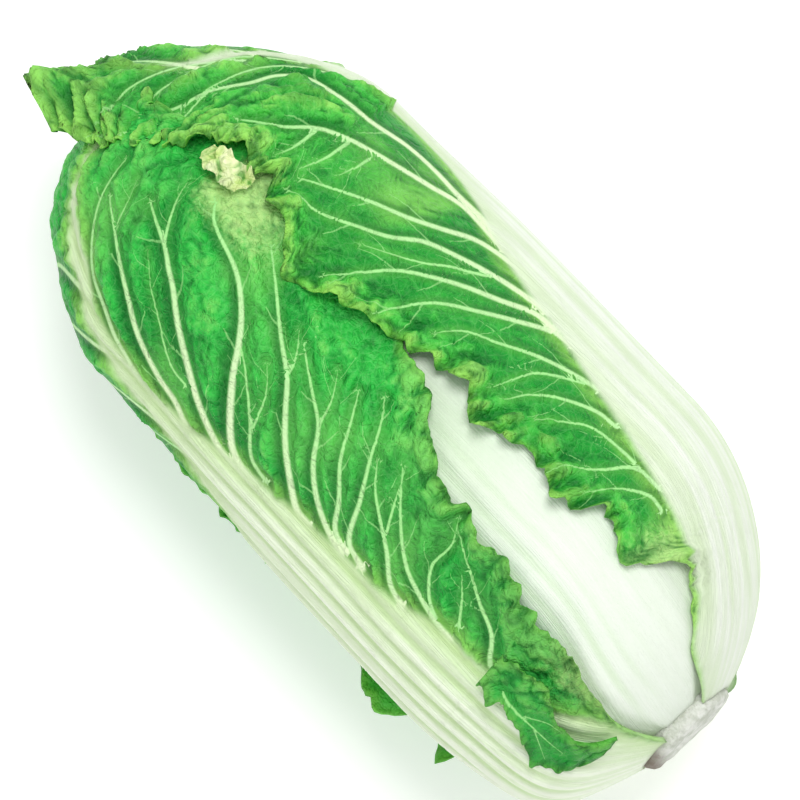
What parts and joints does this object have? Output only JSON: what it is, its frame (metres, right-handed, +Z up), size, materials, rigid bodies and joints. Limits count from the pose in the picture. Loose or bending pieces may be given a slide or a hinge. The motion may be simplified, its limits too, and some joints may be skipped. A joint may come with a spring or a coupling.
{
  "type": "napa cabbage head",
  "caption": "Harvested head of napa cabbage lying on its side: long, barrel-shaped, with overlapping green leaves on broad white ribs and a cut stem.",
  "frame": {"origin": "under the middle of the head, on the surface that it lies on", "axes": "+X along the head towards the cut stem, so the leaf tips are at -X; +Y towards the side that the right wrapper leaf covers; +Z up"},
  "size_m": [0.3326, 0.1478, 0.1427],
  "materials": {
    "green_leaf": "crinkled green cabbage leaf with a white rib and pale veins, satin",
    "white_rib": "crisp white cabbage rib with fine lengthwise grooves, moist satin",
    "pale_heart": "pale yellow inner cabbage leaf, satin",
    "cut_stem": "pale cut stem, moist and slightly fibrous, matt"
  },
  "bodies": {
    "root": {"right_wrapper_leaf": "green_leaf", "left_wrapper_leaf": "green_leaf", "lower_leaf": "green_leaf", "centre_leaf": "white_rib", "heart_leaf_1": "pale_heart", "heart_leaf_2": "pale_heart", "heart_leaf_3": "pale_heart", "heart_leaf_4": "pale_heart", "heart_leaf_5": "pale_heart", "heart_leaf_6": "pale_heart", "heart_leaf_7": "pale_heart", "heart_leaf_8": "pale_heart", "heart_bud": "pale_heart", "stem": "cut_stem"}
  },
  "joints": []
}
